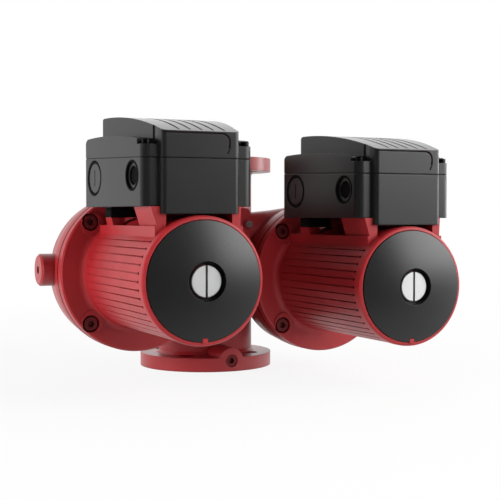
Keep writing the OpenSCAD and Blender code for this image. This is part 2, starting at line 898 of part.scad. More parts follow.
module vent_screw(side)
    color(steel)
        at_head(side)
            difference() {
                turned([
                    [0, vent_face], [vent_head_r - 0.6, vent_face],
                    [vent_head_r, vent_face + 0.6], [vent_head_r, vent_head_back],
                    [vent_thread_r - 0.1, vent_head_back],
                    [vent_thread_r - 0.1, vent_head_back + vent_thread_len],
                    [0, vent_head_back + vent_thread_len]]);
                translate([-vent_slot_w / 2, vent_face - 1, -vent_head_r - 1])
                    cube([vent_slot_w, 3, 2 * vent_head_r + 2]);
            }

module vent_seal(side)
    color(black)
        at_head(side)
            turned([
                [vent_thread_r + 0.6, vent_head_back], [vent_head_r - 1, vent_head_back],
                [vent_head_r - 1, end_wall_front], [vent_thread_r + 0.6, end_wall_front]]);

// Terminal box

// Outline of the main compartment and of the wings, seen from above, inset by a wall
module main_outline(inset = 0) {
    back_half = box_half_w + box_spread - inset;
    front_half = box_half_w - inset;
    r = corner_r;
    f = front_corner_r;
    polygon([
        [-front_half + f, box_front + inset], [front_half - f, box_front + inset],
        [front_half, box_front + inset + f],
        [back_half, main_back - inset - r], [back_half - r, main_back - inset],
        [-back_half + r, main_back - inset], [-back_half, main_back - inset - r],
        [-front_half, box_front + inset + f]]);
    for (s = [left, right]) {
        translate([s * (back_half - r), main_back - inset - r])
            circle(r = r);
        translate([s * (front_half - f), box_front + inset + f])
            circle(r = f);
    }
}

module wing_outline(inset = 0) {
    front_half = wing_half_w - inset;
    back_half = wing_half_w + wing_spread - inset;
    r = corner_r;
    polygon([
        [-front_half + r, wing_front + inset], [front_half - r, wing_front + inset],
        [front_half, wing_front + inset + r],
        [back_half, box_back - inset], [-back_half, box_back - inset],
        [-front_half, wing_front + inset + r]]);
    for (s = [left, right])
        translate([s * (front_half - r), wing_front + inset + r])
            circle(r = r);
}

// Places a feature on a wing's side face: +Z points out of the face
module on_wing(s, y, z) {
    t = (y - wing_front) / (box_back - wing_front);
    translate([s * (wing_half_w + wing_spread * t), y, z])
        rotate([0, 90 * s, s * wing_tilt * -1])
            children();
}

module prism(z0, z1)
    translate([0, 0, z0])
        linear_extrude(height = z1 - z0)
            children();

// Extrudes an outline, given as points [y, z] seen from the side, across the whole box
module from_side(points)
    translate([-100, 0, 0])
        rotate([90, 0, 90])
            linear_extrude(height = 200)
                polygon(points);

// Everything below the sloping seam, raised by an offset
module below_seam(offset = 0) {
    slope = seam_rise / (box_back - box_front);
    z0 = seam_h + offset;
    from_side([[0, ledge_h], [0, z0 - slope * box_front],
        [160, z0 + slope * (160 - box_front)], [160, ledge_h]]);
}

module box_solid(inset, z0)
    intersection() {
        prism(z0, lid_h)
            box_outline(inset);
        below_seam();
    }

module box_outline(inset) {
    main_outline(inset);
    wing_outline(inset);
}

// Band along the seam between two insets: the lid's lip, its seat in the base, and the reveal
module lip_band(outer, inner, low, high = 1)
    difference() {
        intersection() {
            prism(box_floor, lid_h)
                box_outline(outer);
            below_seam(high);
        }
        below_seam(low);
        if (inner > outer)
            prism(box_floor - 1, lid_h + 1)
                box_outline(inner);
    }

module box_base(side)
    color(box_grey)
        at_head(side)
            difference() {
                union() {
                    box_solid(0, box_floor);
                    intersection() {
                        prism(apron_low, box_floor + 1)
                            main_outline();
                        translate([-box_half_w - box_spread, 0, 0])
                            cube([2 * (box_half_w + box_spread), ledge_front - fit, box_floor + 1]);
                    }
                    for (s = [left, right])
                        translate([s > 0 ? rear_seat_x0 + 1 : -rear_seat_x1,
                            rear_seat_front + 1, ledge_h + rear_seat_h])
                            cube([rear_seat_x1 - rear_seat_x0 - 1, rear_seat_len - 4,
                                box_floor - ledge_h - rear_seat_h + 1]);
                }
                difference() {
                    box_solid(box_wall, box_floor + box_wall);
                    on_wing(left, entry_y, entry_z)
                        translate([0, 0, -entry_depth])
                            cylinder(r = entry_r + 2.2, h = entry_depth);
                    on_wing(left, small_entry_y, entry_z)
                        translate([0, 0, -entry_depth])
                            cylinder(r = small_entry_r + 1, h = entry_depth);
                }
                lip_band(box_wall - lip_t / 2, 0, -lip_h);
                on_wing(left, entry_y, entry_z)
                    translate([0, 0, -entry_depth - 1])
                        cylinder(r = entry_r, h = entry_depth + 3);
                on_wing(left, small_entry_y, entry_z) {
                    translate([0, 0, -small_recess])
                        cylinder(r = small_entry_r, h = small_recess + 2);
                    translate([0, 0, 1 - entry_depth])
                        cylinder(r = small_bore_r, h = entry_depth);
                }
                for (s = [left, right])
                    for (y = [box_screw_front_y, box_screw_rear_y])
                        rod_z(box_screw_r + 0.2, ledge_h, floor_top + 3, s * box_screw_x, y);
                for (s = [left, right])
                    rod_z(lid_screw_r, seam_h - 14, seam_h + 1, s * (lid_screw_x - 1),
                        lid_screw_y);
            }

// Crown of the main lid and of its wings, as arcs seen from the side
module crown(r, y, h)
    rod_x(r, -100, 100, y, h - r);

// Everything in front of and below the rounded top edge at the rear
module rear_rounding(back, top, along, down)
    from_side(concat(
        [[0, ledge_h], [0, top + 9], [back - along, top + 9]],
        [for (i = [0:8]) let (a = 90 - 90 * i / 8)
            [back - along + (along + 0.2) * cos(a), top + 0.3 - down + down * sin(a)]],
        [[back + 0.2, ledge_h]]));

module lid_solid(inset, z0) {
    intersection() {
        prism(z0, lid_h + 5)
            main_outline(inset);
        crown(lid_arc_r - inset, lid_arc_y, lid_h - inset);
        rear_rounding(main_back - inset, lid_h - inset, lid_round - inset, lid_round - inset);
    }
    intersection() {
        prism(z0, wing_h + 5)
            wing_outline(inset);
        crown(wing_arc_r - inset, wing_arc_y, wing_h - inset);
        rear_rounding(box_back - inset, wing_h - inset, wing_round_y - inset, wing_round_z - inset);
    }
}

// Grooves along the crown, each as deep as the arc lets a narrower ring cut
module lid_grooves() {
    depth = 0.9;
    first = -(lid_groove_count - 1) / 2;
    for (i = [0:lid_groove_count - 1])
        translate([2 + (first + i) * lid_groove_pitch, 0, 0])
            intersection() {
                difference() {
                    rod_x(lid_arc_r + 2, -0.6, 0.6, lid_arc_y, lid_h - lid_arc_r);
                    rod_x(lid_arc_r - depth, -1, 1, lid_arc_y, lid_h - lid_arc_r);
                }
                translate([-1, box_front + 4, seam_h])
                    cube([2, 104, 60]);
            }
}

// Hooked line on the front of the lid
module hook_line() {
    w = 0.8;
    r = hook_r;
    x_end = hook_x;
    from_front(box_front - 1, box_front + 0.7) {
        translate([-box_half_w + 1, hook_line_z - w / 2])
            square([x_end - r + box_half_w - 1, w]);
        translate([x_end - r, hook_line_z - r])
            intersection() {
                difference() {
                    circle(r = r + w / 2);
                    circle(r = r - w / 2);
                }
                square(r + w);
            }
        translate([x_end - w / 2, hook_line_z - r - hook_tail])
            square([w, hook_tail]);
        polygon([
            [x_end - w / 2, hook_line_z - r - hook_tail],
            [x_end + w / 2, hook_line_z - r - hook_tail],
            [x_end - 2, hook_line_z - r - 2 * hook_tail],
            [x_end - 3, hook_line_z - r - 2 * hook_tail]]);
    }
}

module lid_notches()
    for (s = [left, right])
        translate([s > 0 ? box_half_w + 0.6 : -wing_half_w - 10, wing_front - 1, notch_low])
            cube([wing_half_w + 10 - box_half_w - 0.6, notch_depth + 1, 30]);

module box_lid(side)
    color(box_grey)
        at_head(side)
            difference() {
                union() {
                    difference() {
                        lid_solid(0, seam_h - 1);
                        below_seam();
                        difference() {
                            lid_solid(box_wall, seam_h - 2);
                            for (s = [left, right])
                                translate([s > 0 ? box_half_w - 2 : -wing_half_w - 2,
                                    wing_front, notch_low - box_wall])
                                    cube([wing_half_w + 4 - box_half_w,
                                        notch_depth + box_wall, 30]);
                        }
                    }
                    lip_band(box_wall - lip_t / 2 + fit, box_wall + lip_t / 2 + fit, fit - lip_h);
                }
                on_wing(left, entry_y, entry_z)
                    translate([0, 0, -entry_depth - fit])
                        cylinder(r = entry_r + fit, h = entry_depth);
                lid_notches();
                lid_grooves();
                hook_line();
                lip_band(-1, reveal_depth, -1, reveal_h);
                for (s = [left, right])
                    rod_z(lid_screw_r + 0.3, seam_h - 10, notch_low + 1,
                        s * (lid_screw_x - 1), lid_screw_y);
            }

module box_screws(side)
    color(steel)
        at_head(side)
            for (s = [left, right])
                for (y = [box_screw_front_y, box_screw_rear_y]) {
                    low = y < rear_seat_front ? box_floor - 12 : ledge_h + 1;
                    rod_z(box_screw_r, low, floor_top + eps, s * box_screw_x, y);
                    rod_z(box_screw_head_r, floor_top, floor_top + 2.2, s * box_screw_x, y);
                }

module lid_screws(side)
    color(dark_steel)
        at_head(side)
            for (s = [left, right])
                difference() {
                    union() {
                        rod_z(lid_screw_head_r, notch_low, notch_low + 4,
                            s * (lid_screw_x - 1), lid_screw_y);
                        rod_z(lid_screw_r - 0.1, seam_h - 11, notch_low + eps,
                            s * (lid_screw_x - 1), lid_screw_y);
                    }
                    translate([s * (lid_screw_x - 1) - 3, lid_screw_y - 0.5, notch_low + 2.6])
                        cube([6, 1, 3]);
                }

// Rubber ring round the blanking plug
module plug_gasket(side)
    color(black)
        at_head(side)
            on_wing(left, entry_y, entry_z)
                difference() {
                    translate([0, 0, -plug_recess - 1.9])
                        cylinder(r = entry_r - 0.1, h = 2.4);
                    translate([0, 0, -plug_recess - 3])
                        cylinder(r = entry_r - plug_gap + 0.1, h = 5);
                }

// Screwed blanking plug in the large cable entry, with a coin slot
module blanking_plug(side)
    color(box_grey)
        at_head(side)
            on_wing(left, entry_y, entry_z)
                difference() {
                    union() {
                        translate([0, 0, -plug_recess - 3])
                            cylinder(r = entry_r - plug_gap, h = 3);
                        translate([0, 0, -entry_depth])
                            cylinder(r = entry_r, h = entry_depth - plug_recess - 2);
                    }
                    translate([-8.5, -0.8, -plug_recess - 1.5])
                        cube([17, 1.6, 3]);
                }

module terminal_block(side)
    color(cream)
        at_head(side)
            translate([block_x, block_y, floor_top])
                difference() {
                    cube([block_w, block_d, block_h]);
                    for (i = [0:block_ways - 1]) {
                        x = block_w / 2 + (i - (block_ways - 1) / 2) * block_pitch;
                        translate([x, block_d / 2, block_h - 9])
                            cylinder(r = 2.6, h = 12);
                        translate([x, -1, block_h / 3])
                            rotate([-90, 0, 0])
                                cylinder(r = 1.8, h = block_d / 2 - 1);
                    }
                }

module capacitor(side)
    color(black)
        at_head(side)
            translate([cap_x, cap_y, floor_top + cap_r])
                rotate([-90, 0, 0])
                    rotate_extrude()
                        polygon([
                            [0, 0], [cap_r - 2, 0], [cap_r, 2], [cap_r, cap_len - 2],
                            [cap_r - 2, cap_len], [0, cap_len]]);

module speed_module(side)
    color(carbon)
        at_head(side)
            difference() {
                translate([knob_x - module_w / 2, knob_y - module_d / 2, floor_top])
                    cube([module_w, module_d, module_h]);
                rod_z(knob_shaft_r + 0.05, knob_seat - 6, knob_seat + 4, knob_x, knob_y);
                rod_z(knob_r + 1, knob_seat - 2, knob_seat + 8, knob_x, knob_y);
            }

// Rotary speed selector on top of its module
module speed_knob(side)
    color(cream)
        at_head(side) {
            rod_z(knob_shaft_r, knob_seat - 6, knob_seat - 1, knob_x, knob_y);
            rod_z(knob_r, knob_seat - 1.7, knob_seat + 3.3, knob_x, knob_y);
            translate([knob_x - knob_grip / 2, knob_y - knob_r + 2, knob_seat + 3])
                cube([knob_grip, 2 * knob_r - 4, knob_grip * 1.5]);
        }

pump_housing();
flap();
flap_pin();
gauge_plugs();
side_plugs();
vent_plug();
stator_housing(left);  // stator_housing_left
stator_housing(right);  // stator_housing_right
flange_screws(left);  // flange_screws_left
flange_screws(right);  // flange_screws_right
joint_seal(left);  // joint_seal_left
joint_seal(right);  // joint_seal_right
bearing_plate(left);  // bearing_plate_left
bearing_plate(right);  // bearing_plate_right
rotor_can(left);  // rotor_can_left
rotor_can(right);  // rotor_can_right
front_bearing(left);  // front_bearing_left
front_bearing(right);  // front_bearing_right
rear_bearing(left);  // rear_bearing_left
rear_bearing(right);  // rear_bearing_right
stator_stack(left);  // stator_stack_left
stator_stack(right);  // stator_stack_right
windings(left);  // windings_left
windings(right);  // windings_right
shaft(left);  // shaft_left
shaft(right);  // shaft_right
rotor_core(left);  // rotor_core_left
rotor_core(right);  // rotor_core_right
impeller(left);  // impeller_left
impeller(right);  // impeller_right
neck_ring(left);  // neck_ring_left
neck_ring(right);  // neck_ring_right
nameplate_disc(left);  // nameplate_disc_left
nameplate_disc(right);  // nameplate_disc_right
vent_screw(left);  // vent_screw_left
vent_screw(right);  // vent_screw_right
vent_seal(left);  // vent_seal_left
vent_seal(right);  // vent_seal_right
box_base(left);  // box_base_left
box_base(right);  // box_base_right
box_lid(left);  // box_lid_left
box_lid(right);  // box_lid_right
box_screws(left);  // box_screws_left
box_screws(right);  // box_screws_right
lid_screws(left);  // lid_screws_left
lid_screws(right);  // lid_screws_right
blanking_plug(left);  // blanking_plug_left
blanking_plug(right);  // blanking_plug_right
plug_gasket(left);  // plug_gasket_left
plug_gasket(right);  // plug_gasket_right
terminal_block(left);  // terminal_block_left
terminal_block(right);  // terminal_block_right
capacitor(left);  // capacitor_left
capacitor(right);  // capacitor_right
speed_module(left);  // speed_module_left
speed_module(right);  // speed_module_right
speed_knob(left);  // speed_knob_left
speed_knob(right);  // speed_knob_right
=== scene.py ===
# %% [markdown]
# # Twin circulator pump
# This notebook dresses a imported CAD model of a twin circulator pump: two canned-motor
# heads, side by side on one flanged housing. The CAD model says where everything is and
# how large it is. Blender adds what the eye reads as real: rounded edges, enamel,
# moulded grain and turned metal. Everything is in metres, in the CAD model's own frame.

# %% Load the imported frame
import json
from math import atan2, cos, pi, radians, sin

import bmesh
import bpy
from mathutils import Matrix, Vector


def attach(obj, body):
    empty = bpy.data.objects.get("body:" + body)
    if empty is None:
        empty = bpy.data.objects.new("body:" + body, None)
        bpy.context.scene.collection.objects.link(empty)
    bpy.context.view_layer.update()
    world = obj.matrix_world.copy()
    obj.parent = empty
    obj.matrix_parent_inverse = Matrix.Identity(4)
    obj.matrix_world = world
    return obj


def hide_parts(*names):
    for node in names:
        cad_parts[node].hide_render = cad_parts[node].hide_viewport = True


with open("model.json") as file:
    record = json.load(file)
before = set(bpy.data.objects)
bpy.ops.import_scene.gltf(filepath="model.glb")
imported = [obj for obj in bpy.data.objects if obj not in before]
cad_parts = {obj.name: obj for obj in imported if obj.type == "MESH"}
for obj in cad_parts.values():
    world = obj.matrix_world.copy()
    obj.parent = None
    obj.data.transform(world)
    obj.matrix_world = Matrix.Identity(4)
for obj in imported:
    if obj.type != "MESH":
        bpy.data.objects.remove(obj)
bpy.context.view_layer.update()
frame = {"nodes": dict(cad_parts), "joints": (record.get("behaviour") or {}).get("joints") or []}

# %% [markdown]
# ## Sizes that the pieces share
# The two heads are alike. Each has its own axis, which runs along Y through the motor.
# Those axes come from the joints of the CAD model, so they are read and not typed in.

# %% Heads
MM = 0.001
SIDES = ("left", "right")
PIVOTS = {joint["name"]: joint for joint in frame["joints"]}


def head_axis(side):
    """Point where the head's axis meets its nameplate plane."""
    return Vector(PIVOTS["vent_turn_" + side]["pos_m"])


for side in SIDES:
    print("head", side, [round(v, 4) for v in head_axis(side)])

# %% [markdown]
# ## Camera
# The photograph looks from the front left, a little above the middle of the pump, with
# a long lens. The lens and the place were worked out from the two round nameplate discs
# and the flange, whose real sizes are known, so the render lines up with it.

# %% Camera
CAMERA_PLACE = (-0.4485, -1.0707, 0.1588)
CAMERA_TURN = radians(-25.103)
CAMERA_DIP = radians(1.804)
LENS_MM, SENSOR_MM = 77.48, 36

camera_data = bpy.data.cameras.new("camera")
camera_data.lens = LENS_MM
camera_data.sensor_width = SENSOR_MM
camera = bpy.data.objects.new("camera", camera_data)
camera.location = CAMERA_PLACE
camera.rotation_euler = (pi / 2 - CAMERA_DIP, 0, CAMERA_TURN)
bpy.context.scene.collection.objects.link(camera)
bpy.context.scene.camera = camera
print("camera at", CAMERA_PLACE)

# %% [markdown]
# ## Colours
# Colours are listed as sRGB hex values, as a paint chart gives them. Blender
# mixes light in linear values, so one function converts them. Mid grey shows the
# difference: it is half way to the eye, but only about a fifth of the light.

# %% Colours


def linear(hex_colour):
    """sRGB hex colour as linear RGBA."""
    parts = [int(hex_colour[i:i + 2], 16) / 255 for i in (0, 2, 4)]
    return [c / 12.92 if c <= 0.04045 else ((c + 0.055) / 1.055) ** 2.4 for c in parts] + [1.0]


print("mid grey in linear light:", round(linear("808080")[0], 3))

# %% [markdown]
# ## Materials as nodes
# A material is a small network. One function adds a node with its settings and inputs.
# Another opens a new material, whose principled shader takes the numbers that are the
# same all over the surface, such as its IOR. In its keywords an underscore stands for
# the space in a socket's name.

# %% Node helpers


def add_node(tree, kind, inputs=None, **settings):
    """Adds a node. An input is a number, a colour, or another node's output socket."""
    node = tree.nodes.new(kind)
    for name, value in settings.items():
        setattr(node, name, value)
    for name, value in (inputs or {}).items():
        if isinstance(value, bpy.types.NodeSocket):
            tree.links.new(value, node.inputs[name])
        else:
            node.inputs[name].default_value = value
    return node


def new_material(name, **sockets):
    """A material with its principled shader, whose constant sockets are set here."""
    material = bpy.data.materials.new(name)
    material.use_nodes = True
    shader = material.node_tree.nodes["Principled BSDF"]
    for socket, value in sockets.items():
        shader.inputs[socket.replace("_", " ")].default_value = value
    return material, material.node_tree, shader


print("the keyword Coat_Weight sets the socket", "Coat_Weight".replace("_", " "))

# %% [markdown]
# ### Painted shade in the corners
# On a real casting, shade gathers in grooves and inner corners. Ambient
# occlusion measures how closed in a point is within a few millimetres. Where it is
# closed in, the colour is scaled down, so the shade is painted into the colour.

# %% Corner shade
SHUT, OPEN = 0.35, 0.9


def shaded_corners(tree, colour, reach_mm, depth):
    """Colour with painted shade that darkens it inside grooves, gaps and corners."""
    corner = add_node(tree, "ShaderNodeAmbientOcclusion", {"Distance": reach_mm * MM}, samples=6)
    open_part = add_node(tree, "ShaderNodeMapRange", {
        "Value": corner.outputs["AO"], "From Min": SHUT, "From Max": OPEN,
        "To Min": 1 - depth, "To Max": 1.0})
    return add_node(tree, "ShaderNodeVectorMath", {
        0: colour, "Scale": open_part.outputs["Result"]}, operation="SCALE").outputs["Vector"]


print("a corner is shut at", SHUT, "and open at", OPEN)

# %% [markdown]
# ### One recipe for painted and moulded surfaces
# Most finishes here share one recipe: a fine grain that lifts the surface a little, a
# slow change of colour over centimetres, and a roughness that varies with the grain. A
# bevel node rounds the sharp CAD edges for the light alone, so no mesh changes. The
# grain's size is a real size in millimetres. Object coordinates are in metres, so a
# grain of 1 mm needs a noise scale of 1000. The real grain of a mould or a rolled sheet
# is about 0.05 mm, too fine to show at this distance, where a pixel covers about 1 mm.
# So it is drawn between 0.5 and 1 mm, and very shallow.

# %% Grain recipe
NOISE_LOW, NOISE_HIGH = 0.3, 0.7


def grained(name, low, high, rough, grain_mm, depth_mm, edge_mm=0.6, patch_mm=45,
            corner_mm=2.5, corner_depth=0.6, **sockets):
    """Painted or moulded surface: soft edges, fine grain, a slow change of colour and painted
    shade in corners.
    """
    material, tree, shader = new_material(name, **sockets)
    place = add_node(tree, "ShaderNodeTexCoord").outputs["Object"]
    patches = add_node(tree, "ShaderNodeTexNoise", {
        "Vector": place, "Scale": 1000 / patch_mm, "Detail": 2.0}).outputs["Fac"]
    fine = add_node(tree, "ShaderNodeTexNoise", {
        "Vector": place, "Scale": 1000 / grain_mm, "Detail": 3.0}).outputs["Fac"]
    tones = add_node(tree, "ShaderNodeValToRGB", {"Fac": patches})
    for stop, spot, tone in zip(tones.color_ramp.elements, (NOISE_LOW, NOISE_HIGH), (low, high)):
        stop.position = spot
        stop.color = linear(tone)
    roughness = add_node(tree, "ShaderNodeMapRange", {
        "Value": fine, "From Min": NOISE_LOW, "From Max": NOISE_HIGH,
        "To Min": rough[0], "To Max": rough[1]})
    edge = add_node(tree, "ShaderNodeBevel", {"Radius": edge_mm * MM}, samples=4)
    bump = add_node(tree, "ShaderNodeBump", {
        "Height": fine, "Distance": depth_mm * MM, "Strength": 1.0,
        "Normal": edge.outputs["Normal"]})
    # Painted shade: the base colour is darkened in grooves, gaps and corners.
    colour = shaded_corners(tree, tones.outputs["Color"], corner_mm, corner_depth)
    tree.links.new(colour, shader.inputs["Base Color"])
    tree.links.new(roughness.outputs["Result"], shader.inputs["Roughness"])
    tree.links.new(bump.outputs["Normal"], shader.inputs["Normal"])
    return material


print("noise scale for a grain of 1.6 mm:", 1000 / 1.6)

# %% [markdown]
# ## Enamel
# The castings carry a dipped red enamel. On the sand-cast housing it lies over a rough
# skin, so its grain is coarse. The die-cast motor casings are smoother. Enamel is a
# dielectric, so its IOR is 1.5 and it isn't metallic. On the castings a thin clear coat
# adds a second, tighter gloss, which mirrors the white room in pale rims.

# %% Enamel
# Thick paint over sand-cast iron: a slightly lumpy red with rounded edges.
housing_enamel = grained(
    "red_enamel_on_cast_iron", "861a1e", "922125", (0.45, 0.55), 1.6, 0.04,
    edge_mm=1.2, IOR=1.5, Specular_IOR_Level=0.3, Coat_Weight=0.5, Coat_Roughness=0.3)
# Thin paint over die-cast aluminium: a smoother, slightly lighter red on crisp fins.
casing_enamel = grained(
    "red_enamel_on_die_cast_aluminium", "8c1b1f", "982126", (0.45, 0.55), 0.9, 0.015,
    edge_mm=0.7, corner_depth=0.1, IOR=1.5, Specular_IOR_Level=0.3, Coat_Weight=0.25,
    Coat_Roughness=0.3)
# Paint that has pooled in screw heads and plugs: a darker, duller red.
plug_enamel = grained(
    "dark_red_enamel_on_steel", "541719", "641c1e", (0.5, 0.6), 0.9, 0.02,
    edge_mm=0.4, IOR=1.5, Specular_IOR_Level=0.25)
print("enamels:", housing_enamel.name, casing_enamel.name, plug_enamel.name)

# %% [markdown]
# ## Moulded plastics
# The terminal boxes are moulded in a dark grey glass-filled polyamide with a
# spark-eroded grain. The nameplate discs are a smoother black polyamide, which shows
# a broad soft sheen. Inside the boxes, the terminal block and the speed knob are cream
# polyester, and the capacitor and the selector's body are black phenolic.

# %% Moulded plastics
# Spark-eroded mould: a dull grey that brightens at a flat angle.
box_polyamide = grained(
    "dark_grey_moulded_polyamide", "141414", "191919", (0.30, 0.38), 0.7, 0.006,
    edge_mm=1.4, corner_mm=1.4, corner_depth=0.7, IOR=1.53, Specular_IOR_Level=0.42)
# Nearly smooth mould: a black disc with one wide sheen across its dome.
disc_polyamide = grained(
    "black_moulded_polyamide", "121212", "161616", (0.32, 0.38), 0.6, 0.003,
    edge_mm=0.5, IOR=1.53)
# Opaque filled resin: a warm off-white with a mild shine.
cream_plastic = grained(
    "cream_moulded_polyester", "cfc7ae", "d8d1ba", (0.35, 0.45), 0.8, 0.01, IOR=1.55)
# Old-fashioned hard resin: a blue-black with a mild shine.
black_plastic = grained(
    "black_moulded_phenolic", "17181b", "1d1e21", (0.35, 0.5), 0.8, 0.01, IOR=1.6)
print("plastics:", box_polyamide.name, disc_polyamide.name)

# %% [markdown]
# ## Rubber, carbon and dark gaps
# Seals are black rubber, which swallows nearly all light. The bearings are moulded
# carbon, a soft dark grey. A gap between two castings is no material at all, but the eye
# sees paint dust and shadow in it, so thin dark pieces stand for that. The same dark
# finish is painted shade in grooves, slots and pockets.

# %% Rubber, carbon and gaps
# Moulded rubber: the dullest black of all.
seal_rubber = grained(
    "black_moulded_rubber", "0a0a0a", "0e0e0e", (0.85, 0.95), 0.8, 0.02,
    IOR=1.52, Specular_IOR_Level=0.15)
# Pressed carbon: a dark grey with a faint graphite shine.
carbon = grained(
    "moulded_carbon", "1c1d20", "26272a", (0.3, 0.45), 0.8, 0.01, IOR=1.6)
# Painted shadow with a little red paint dust in it, for joints, grooves, slots and pockets.
shadow_gap = grained(
    "dark_joints_and_painted_shade", "120607", "180809", (0.8, 0.9), 0.8, 0.01, IOR=1.5,
    Specular_IOR_Level=0.1)
print("dark finishes:", seal_rubber.name, carbon.name, shadow_gap.name)

# %% [markdown]
# ## Metals
# Metals keep the default IOR and are fully metallic. Their colour is their reflectance.
# The same recipe serves, because rolled, plated and varnished metal all have a fine
# even grain, which mostly shows in how widely they spread a highlight.

# %% Metals
# Rolled sheet and machined bar: a plain silver grey.
bright_steel = grained(
    "bright_rolled_steel", "bababa", "c4c4c4", (0.42, 0.52), 0.8, 0.004,
    edge_mm=0.3, Metallic=1.0)
# Dull nickel on turned brass: a pale grey, with no sharp highlight.
satin_nickel = grained(
    "satin_nickel_on_turned_brass", "d0d0d0", "dadada", (0.52, 0.62), 0.8, 0.004,
    edge_mm=0.5, Metallic=1.0)
# Oil-blackened screws: dark, with a small shine.
black_steel = grained(
    "blackened_steel", "262626", "303030", (0.35, 0.5), 0.6, 0.006,
    edge_mm=0.3, Metallic=1.0)
# Stacked electrical sheet under varnish: a brownish grey.
laminations = grained(
    "varnished_lamination_steel", "4a4542", "5a5450", (0.4, 0.55), 0.5, 0.01,
    Metallic=1.0)
# Enamelled wire: a deep orange-brown that glints.
copper = grained(
    "varnished_copper_wire", "a4562f", "b5673a", (0.3, 0.4), 0.7, 0.03, Metallic=1.0)
print("metals:", bright_steel.name, satin_nickel.name, black_steel.name)

# %% [markdown]
# ## Dress the CAD nodes
# The CAD model arrives as 58 named nodes. Most keep their shape and only get a finish,
# so the table below gives one for each kind of piece. Left and right pieces share it.

# %% Table of finishes
FINISH = {
    "pump_housing": housing_enamel, "flap": bright_steel, "flap_pin": black_steel,
    "gauge_plugs": plug_enamel, "side_plugs": plug_enamel, "vent_plug": bright_steel,
    "stator_housing": casing_enamel, "flange_screws": plug_enamel, "joint_seal": seal_rubber,
    "bearing_plate": bright_steel, "rotor_can": bright_steel, "front_bearing": carbon,
    "rear_bearing": carbon, "stator_stack": laminations, "windings": copper,
    "shaft": bright_steel, "rotor_core": laminations, "impeller": bright_steel,
    "neck_ring": bright_steel, "nameplate_disc": disc_polyamide, "vent_screw": satin_nickel,
    "vent_seal": seal_rubber, "box_base": box_polyamide, "box_lid": box_polyamide,
    "box_screws": bright_steel, "lid_screws": black_steel, "blanking_plug": box_polyamide,
    "plug_gasket": seal_rubber, "terminal_block": cream_plastic,
    "capacitor": black_plastic, "speed_module": black_plastic, "speed_knob": cream_plastic,
}


def base_name(node):
    """Node name without its side."""
    for side in SIDES:
        node = node.removesuffix("_" + side)
    return node


for node, thing in frame["nodes"].items():
    thing.data.materials.clear()
    thing.data.materials.append(FINISH[base_name(node)])
print("dressed", len(frame["nodes"]), "nodes")

# %% [markdown]
# ## Pieces that Blender adds
# The solids carry the shapes that must fit and move. Some fine things are easier to draw
# here: the black rubber rings of the cable entries, the thin dark lines of joints, dark
# strips of painted shade in grooves, and the soft shoulder where each discharge duct
# leaves its pot. Each is built in its head's own frame, in millimetres: x to the right, y
# back from the nameplate and z up from the motor's axis. A matrix then takes it to its
# place in metres. Each piece also says which body it moves with.

# %% Placing a piece
TO_METRES = Matrix.Scale(MM, 4)


def head_frame(side):
    """Matrix from a head's own millimetres to the model's metres."""
    return Matrix.Translation(head_axis(side)) @ TO_METRES


def new_piece(name, mesh, finish, body, matrix):
    """Object from a bmesh, with its finish, that rides on a body."""
    mesh.transform(matrix)
    bmesh.ops.recalc_face_normals(mesh, faces=mesh.faces)
    data = bpy.data.meshes.new(name)
    mesh.to_mesh(data)
    mesh.free()
    data.materials.append(finish)
    piece = bpy.data.objects.new(name, data)
    bpy.context.scene.collection.objects.link(piece)
    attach(piece, body)
    return piece


print("one millimetre is", TO_METRES[0][0], "m")

# %% [markdown]
# ### Turned shapes
# A lathe leaves one section all the way round an axis. This helper does the same for
# rings, plugs and bosses: it copies the section's points round Z and joins neighbours
# with faces. A modifier could do it too, but a plain mesh needs nothing applied later. A
# solid part starts a hair off the axis, so that no face shrinks to a line.

# %% Turned shapes
CENTRE = 0.01


def turned(section, steps=96):
    """Closed section of (radius, height) points, turned round the Z axis."""
    mesh = bmesh.new()
    rings = []
    for i in range(steps):
        turn = 2 * pi * i / steps
        rings.append([mesh.verts.new((r * cos(turn), r * sin(turn), z)) for r, z in section])
    for i in range(steps):
        for j in range(len(section)):
            k = (j + 1) % len(section)
            near, far = rings[i], rings[(i + 1) % steps]
            mesh.faces.new((near[j], far[j], far[k], near[k]))
    return mesh


print("a solid turned part starts", CENTRE, "mm from its axis")

# %% [markdown]
# ### Joint lines
# The motor casting and the pot behind it meet in a thin dark gap that runs round each
# head. Cutting a groove would change the CAD mesh, so a dark ring draws it, 1.8 mm wide
# and a hair larger than the flange. It lies where the photograph shows the gap, about
# 11 mm in front of the joint in the solids.

# %% Joint lines
JOINT_Y, JOINT_HALF = 178.6, 0.9
FLANGE_R, LINE_DEEP, LINE_PROUD = 77.5, 1, 0.12
LINE_IN, LINE_OUT = FLANGE_R - LINE_DEEP, FLANGE_R + LINE_PROUD
ALONG_Y = Matrix.Rotation(-pi / 2, 4, "X")

for side in SIDES:
    ring = turned([(LINE_IN, -JOINT_HALF), (LINE_OUT, -JOINT_HALF),
                   (LINE_OUT, JOINT_HALF), (LINE_IN, JOINT_HALF)])
    place = head_frame(side) @ Matrix.Translation((0, JOINT_Y, 0)) @ ALONG_Y
    new_piece("joint_line_" + side, ring, shadow_gap, "housing", place)
print("joint lines at y", JOINT_Y, "mm")

# %% [markdown]
# ### Groove pockets
# Each cooling groove starts in a small round pocket behind the casing's front ring. The
# solids have these pockets, but they are under two pixels wide. So a dark plug, a little
# wider, fills each of them, stands a hair proud and paints the shade inside the pocket.
# The grooves stop short of the ledge on top, and so do the pockets.

# %% Groove pockets
GROOVE_STEP = 7.5
LEDGE_FROM, LEDGE_TO = 41.5, 138.5
CASING_R = 54.5
POCKET_Y, POCKET_R, POCKET_DEPTH, POCKET_PROUD = 12.5, 1.3, 1.6, 0.08
POCKET_MIDDLE = CASING_R + POCKET_PROUD - POCKET_DEPTH / 2
ALONG_X = Matrix.Rotation(pi / 2, 4, "Y")

